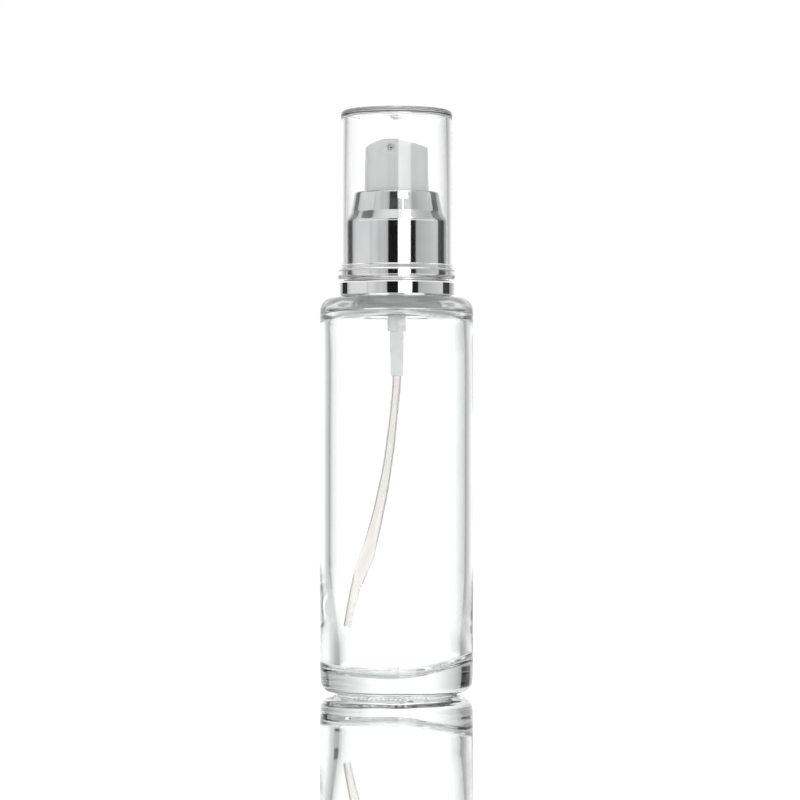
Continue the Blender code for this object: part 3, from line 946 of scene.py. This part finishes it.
SPRING = surface(
    "spring_wire",
    ((0.64, 0.63, 0.62), (0.5, 0.49, 0.48)),
    (0.15, 0.3),
    grain=(3000, 0.5),
    metallic=1.0,
    mottle=500,
)
BALL = surface(
    "polished_ball",
    ((0.74, 0.74, 0.74), (0.66, 0.66, 0.66)),
    (0.05, 0.12),
    metallic=1.0,
    mottle=500,
)

# ---------------------------------------------------------------- assembly

stands_for(glass_bottle(), "glass_bottle", "bottle", GLASS)
stands_for(overcap(), "overcap", "cap", CAP)
stands_for(chrome_collar(), "chrome_collar", "screw_closure", CHROME)
stands_for(inner_closure(), "inner_closure", "screw_closure", WHITE)
stands_for(press_head(), "actuator", "press_head", HEAD)
stands_for(pump_stem(), "pump_stem", "press_head", NATURAL)
stands_for(valve_core(), "valve_core", "press_head", NATURAL)
stands_for(piston(), "piston", "piston_seal", SOFT)
stands_for(pump_cylinder(), "pump_housing", "pump_engine", HOUSING)
stands_for(stem_guide(), "stem_guide", "pump_engine", NATURAL)
stands_for(neck_gasket(), "neck_gasket", "pump_engine", FOAM)
stands_for(dip_tube(), "dip_tube", "pump_engine", TUBE)
stands_for(ball(), "check_ball", "ball", BALL)
coil = stands_for(spring(), "return_spring", "spring", SPRING)
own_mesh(coil)


# ---------------------------------------------------------------- studio


def floor():
    """Glossy white sheet that fades into the backdrop and glows a little: painted light that lifts the
    shade on it and lights the bottle from below.
    """
    reach = 700.0
    rings = 12
    top = -0.05
    under = -3.0
    line = [(reach * (k / rings) ** 2, top) for k in range(rings + 1)]
    line += [(reach, under), (0, under)]
    item = turned("floor", line, 96)
    made = bpy.data.materials.new("glowing_white_acrylic")
    made.use_nodes = True
    n = Nodes(made.node_tree)
    shader = made.node_tree.nodes["Principled BSDF"]
    shader.inputs["Base Color"].default_value = (0.7, 0.7, 0.7, 1.0)
    shader.inputs["IOR"].default_value = 1.49
    # painted light: the floor glows white of itself, which lifts its shadows and lights the bottle from
    # below
    shader.inputs["Emission Color"].default_value = (1.0, 1.0, 1.0, 1.0)
    shader.inputs["Emission Strength"].default_value = 0.25
    n.join(n.span(n.noise(400, 3.0), 0.3, 0.7, 0.015, 0.04), shader.inputs["Roughness"])
    place = n.add("ShaderNodeTexCoord")
    away = n.add("ShaderNodeVectorMath", operation="LENGTH")
    n.join(place.outputs["Object"], away.inputs[0])
    grazing = n.add("ShaderNodeLayerWeight")
    mirror = n.add("ShaderNodeBsdfGlossy")
    mirror.inputs["Color"].default_value = (1.0, 1.0, 1.0, 1.0)
    mirror.inputs["Roughness"].default_value = 0.02
    polished = n.add("ShaderNodeMixShader")
    n.join(n.span(grazing.outputs["Facing"], 0.62, 0.86, 0.0, 0.95), polished.inputs[0])
    n.join(shader.outputs[0], polished.inputs[1])
    n.join(mirror.outputs[0], polished.inputs[2])
    clear = n.add("ShaderNodeBsdfTransparent")
    blend = n.add("ShaderNodeMixShader")
    n.join(n.span(away.outputs["Value"], 0.25, 0.6), blend.inputs[0])
    n.join(polished.outputs[0], blend.inputs[1])
    n.join(clear.outputs[0], blend.inputs[2])
    n.join(blend.outputs[0], made.node_tree.nodes["Material Output"].inputs["Surface"])
    dressed(item, made)


# Light by azimuth in degrees from the camera's side, positive to its right.
ROUND_THE_STUDIO = (
    # backdrop, falling off to the left, and the dark card at its edge
    (-180, 1.25),
    (-165, 1.25),
    (-157, 1.1),
    (-152, 0.92),
    (-147, 0.76),
    (-142, 0.64),
    (-135, 0.48),
    (-133.5, 0.03),
    (-114.5, 0.03),
    # side wall on the left, up to the dark card in front
    (-113, 0.55),
    (-100, 0.74),
    (-62, 0.76),
    (-59.5, 0.55),
    (-57, 0.7),
    (-48, 0.7),
    (-38, 0.56),
    (-31, 0.62),
    (-19.5, 0.5),
    (-18, 0.01),
    (3, 0.01),
    # softbox, then a dark strip
    (4.5, 3.2),
    (29.5, 3.2),
    (31, 0.015),
    (42.5, 0.015),
    # side wall on the right, a dark card, and the backdrop again
    (44.5, 0.46),
    (90, 0.64),
    (103.5, 0.68),
    (105, 0.05),
    (128, 0.05),
    (129.5, 0.38),
    (135, 0.42),
    (142, 0.52),
    (147, 0.62),
    (151, 0.72),
    (156, 0.82),
    (163, 1.0),
    (170, 1.25),
    (180, 1.25),
)
OVERHEAD = (
    (-180, 0.6),
    (-130, 0.6),
    (-120, 0.4),
    (-112, 0.3),
    (-109, 0.1),
    (-74, 0.1),
    (-66, 0.7),
    (-10, 1.0),
    (12, 0.8),
    (30, 1.4),
    (38, 2.5),
    (46, 0.9),
    (70, 0.6),
    (110, 0.5),
    (118, 0.2),
    (140, 0.2),
    (150, 0.6),
    (180, 0.6),
)
SOFTBOX_LIFT = 2.7  # how much brighter the softbox is than the card behind it
STREAK_SHARE = 0.8  # of that lift, kept above the softbox in its narrow streak
HOLLOW = 3.5  # a ray that has passed more surfaces than this has passed a hollow clear piece
INSIDE_LIGHT = 0.4  # light piped inside a clear wall
FAR_SIDE = (92.0, 104.0)  # azimuths between which the front of the studio ends
FRONT_THROUGH_GLASS = 0.95  # front of the studio, seen through a hollow clear piece
FRONT_BELOW_GLASS = 1.0  # the same, mirrored on the way
FLOOR_SHEEN = 1.1  # what the floor and other outer faces mirror from above the horizon
DOME_THROUGH_GLASS = 1.78  # times the soft dome, on what is seen through a hollow clear piece
BACKDROP = 1.02  # seen directly


def light_round(n, azimuth, lights):
    """Brightness by azimuth in degrees, in straight steps between (degrees, brightness) pairs."""
    curve = n.add("ShaderNodeFloatCurve")
    strongest = max(light for _, light in lights)
    mapping = curve.mapping
    mapping.use_clip = False
    points = mapping.curves[0].points
    points[0].location = (0.0, lights[0][1] / strongest)
    points[1].location = (1.0, lights[-1][1] / strongest)
    for angle, light in lights[1:-1]:
        points.new((angle + 180) / 360, light / strongest)
    for point in points:
        point.handle_type = "VECTOR"
    mapping.update()
    n.join(n.math("MULTIPLY_ADD", azimuth, 1 / 360, 0.5), curve.inputs["Value"])
    return n.math("MULTIPLY", curve.outputs[0], strongest)


def softbox_cut(n, azimuth, level):
    """What to take off the softbox below its lower edge and above its upper edge, where a streak stays."""
    box = n.band(azimuth, 3.0, 4.5, 29.5, 31.0)
    streak = n.band(azimuth, 15.0, 16.0, 17.5, 18.5)
    over = n.times(n.span(level, 25.3, 26.0), n.math("MULTIPLY_ADD", streak, -STREAK_SHARE, 1.0))
    under = n.span(level, 2.2, 2.38, SOFTBOX_LIFT, 0.0)
    return n.times(box, n.math("ADD", n.times(over, SOFTBOX_LIFT), under))


def studio_light():
    """White backdrop behind, dark cards beside it, one bright softbox in front, soft light from above.

    The world's brightness also depends on what a ray has passed: clear pieces, mirrors or neither.
    That stands in for the cards and flags that a studio sets up for clear glass and for chrome.
    """
    world = bpy.data.worlds.new("studio")
    bpy.context.scene.world = world
    world.use_nodes = True
    world.cycles.sampling_method = "NONE"
    tree = world.node_tree
    tree.nodes.clear()
    n = Nodes(tree)
    place = n.add("ShaderNodeTexCoord")
    split = n.add("ShaderNodeSeparateXYZ")
    n.join(place.outputs["Generated"], split.inputs[0])
    x, y, z = split.outputs
    turn = math.radians(CAMERA_AZIMUTH)
    towards = n.math("ADD", n.times(x, math.sin(turn)), n.times(y, -math.cos(turn)))
    right = n.math("ADD", n.times(x, math.cos(turn)), n.times(y, math.sin(turn)))
    azimuth = n.math("DEGREES", n.math("ARCTAN2", right, towards))
    level = n.math("DEGREES", n.math("ARCSINE", z))

    overhead = n.mix(n.span(level, 62.0, 80.0), light_round(n, azimuth, OVERHEAD), 0.9)
    cut_off = softbox_cut(n, azimuth, level)
    around = n.math("SUBTRACT", light_round(n, azimuth, ROUND_THE_STUDIO), cut_off)
    strip = n.band(azimuth, 29.5, 31.0, 42.5, 44.5)
    around = n.math("ADD", around, n.times(strip, n.span(level, 12.0, 16.0, 0.0, 0.5)))
    sharp = n.mix(n.span(level, 34.0, 38.0), around, overhead)
    soft = n.span(level, -20.0, 60.0, 0.9, 1.05)

    path = n.add("ShaderNodeLightPath")
    scattered = n.above(path.outputs["Diffuse Depth"], 0.5)
    crossed = path.outputs["Transmission Depth"]
    mirrored = path.outputs["Glossy Depth"]
    through = n.times(n.above(crossed, HOLLOW), n.math("LESS_THAN", mirrored, 0.5))
    within = n.times(n.equals(crossed, 2.0), n.above(mirrored, 0.5))
    deep = n.times(n.above(crossed, HOLLOW), n.above(mirrored, 0.5))
    once = n.times(n.equals(mirrored, 1.0), n.math("LESS_THAN", crossed, 0.5))

    low_down = n.fade(level, 2.2, 2.38)
    raised = n.band(level, 5.6, 6.4, 17.0, 19.0)
    within = n.times(within, n.larger(low_down, n.span(level, 5.4, 5.8)))
    inside = n.times(n.larger(within, n.times(deep, low_down)), INSIDE_LIGHT)
    aside = n.math("ABSOLUTE", azimuth)
    seen_through = n.span(aside, *FAR_SIDE, FRONT_THROUGH_GLASS, INSIDE_LIGHT)
    seen_below = n.span(aside, *FAR_SIDE, FRONT_BELOW_GLASS, 0.0)
    sharp = n.larger(sharp, n.times(n.times(deep, raised), seen_below))
    sharp = n.larger(sharp, n.larger(inside, n.times(through, seen_through)))
    sharp = n.mix(n.times(once, n.band(level, 5.6, 6.4, 28.0, 34.0)), sharp, FLOOR_SHEEN)
    soft = n.times(soft, n.mix(n.above(crossed, HOLLOW), 1.0, DOME_THROUGH_GLASS))
    light = n.mix(scattered, sharp, soft)
    light = n.mix(path.outputs["Is Camera Ray"], light, BACKDROP)
    emission = n.add("ShaderNodeBackground")
    n.join(light, emission.inputs["Color"])
    out = n.add("ShaderNodeOutputWorld")
    n.join(emission.outputs[0], out.inputs["Surface"])


def camera():
    turn = math.radians(CAMERA_AZIMUTH)
    towards = Vector((math.sin(turn), -math.cos(turn), 0))
    right = Vector((math.cos(turn), math.sin(turn), 0))
    data = bpy.data.cameras.new("camera")
    data.lens = LENS
    data.sensor_width = 36.0
    data.clip_start = 0.01
    data.clip_end = 20.0
    item = bpy.data.objects.new("camera", data)
    bpy.context.scene.collection.objects.link(item)
    item.location = (towards * CAMERA_DISTANCE + right * AIM_RIGHT + Vector((0, 0, CAMERA_HEIGHT))) * MM
    aim = (right * AIM_RIGHT + Vector((0, 0, AIM_Z))) * MM
    item.rotation_mode = "QUATERNION"
    item.rotation_quaternion = (aim - item.location).to_track_quat("-Z", "Y")
    bpy.context.scene.camera = item


floor()
studio_light()
camera()

scene = bpy.context.scene
scene.view_settings.view_transform = "Standard"
scene.cycles.max_bounces = 32
scene.cycles.transmission_bounces = 32
scene.cycles.glossy_bounces = 16
scene.cycles.diffuse_bounces = 8
scene.cycles.transparent_max_bounces = 12
